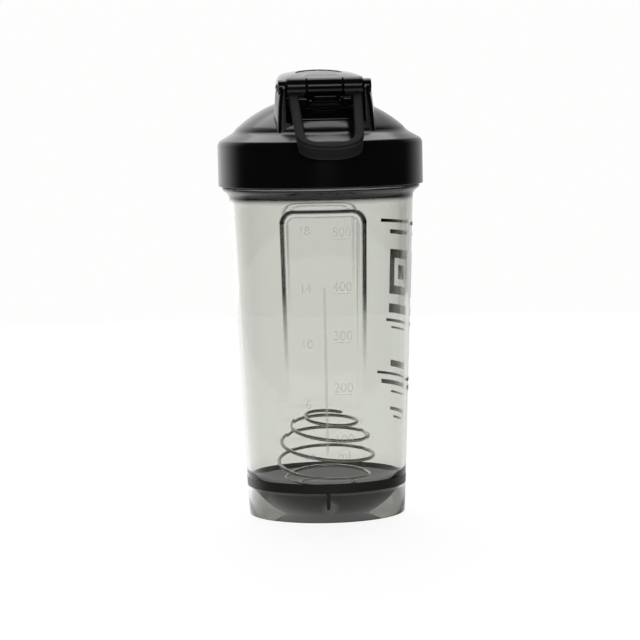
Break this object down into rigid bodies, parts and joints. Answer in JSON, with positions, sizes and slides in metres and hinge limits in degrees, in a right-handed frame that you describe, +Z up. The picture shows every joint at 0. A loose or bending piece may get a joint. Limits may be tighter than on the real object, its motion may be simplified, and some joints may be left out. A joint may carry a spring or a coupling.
{
  "type": "protein shaker bottle",
  "caption": "Clear tapered shaker cup with a black screw lid, hinged flip cap over the spout, hanging carry loop and a loose wire whisk ball.",
  "frame": {"origin": "on the surface the cup stands on, at the centre of the bounding box in plan, 2.6 mm in front of the cup's axis", "axes": "+Z up along the cup; the hinge and the carry loop are at -Y, the drinking spout at +Y, and +X to the right when facing the hinge"},
  "size_m": [0.093, 0.0979, 0.202],
  "materials": {
    "clear_plastic": "clear, slightly grey moulded plastic",
    "black_plastic": "semi-gloss moulded black",
    "black_gloss": "glossy moulded black",
    "black_matte": "fine matte black",
    "grey_plastic": "satin grey inset",
    "grey_silicone": "soft grey silicone",
    "steel": "polished spring wire"
  },
  "bodies": {
    "cup_body": {"cup": "clear_plastic"},
    "seal_body": {"lid_gasket": "grey_silicone"},
    "lid_body": {"lid_shell": "black_plastic", "hinge_pin": "steel"},
    "cap_body": {"flip_cap": "black_gloss", "cap_disc": "grey_plastic", "spout_plug": "grey_silicone"},
    "loop_body": {"carry_loop": "black_matte"},
    "whisk_body": {"whisk_ball": "steel"}
  },
  "joints": [
    {"name": "lid_lift", "type": "slide", "parent": "cup_body", "child": "seal_body", "axis": [0, 0, 1], "range_m": [0, 0.0241]},
    {"name": "lid_turn", "type": "hinge", "parent": "seal_body", "child": "lid_body", "pos_m": [0, 0.00255, 0.16], "axis": [0, 0, 1], "range_deg": [0, 1080]},
    {"name": "cap_flip", "type": "hinge", "parent": "lid_body", "child": "cap_body", "pos_m": [0, -0.02215, 0.1942], "axis": [1, 0, 0], "range_deg": [0, 150]},
    {"name": "loop_swing", "type": "hinge", "parent": "lid_body", "child": "loop_body", "pos_m": [0, -0.02215, 0.1942], "axis": [-1, 0, 0], "range_deg": [0, 150]},
    {"name": "whisk_rattle", "type": "slide", "parent": "cup_body", "child": "whisk_body", "axis": [0, 0, 1], "range_m": [0, 0.11]}
  ],
  "couplings": [
    {"joint": "lid_lift", "follows": "lid_turn", "m_per_rad": 0.0012732}
  ]
}
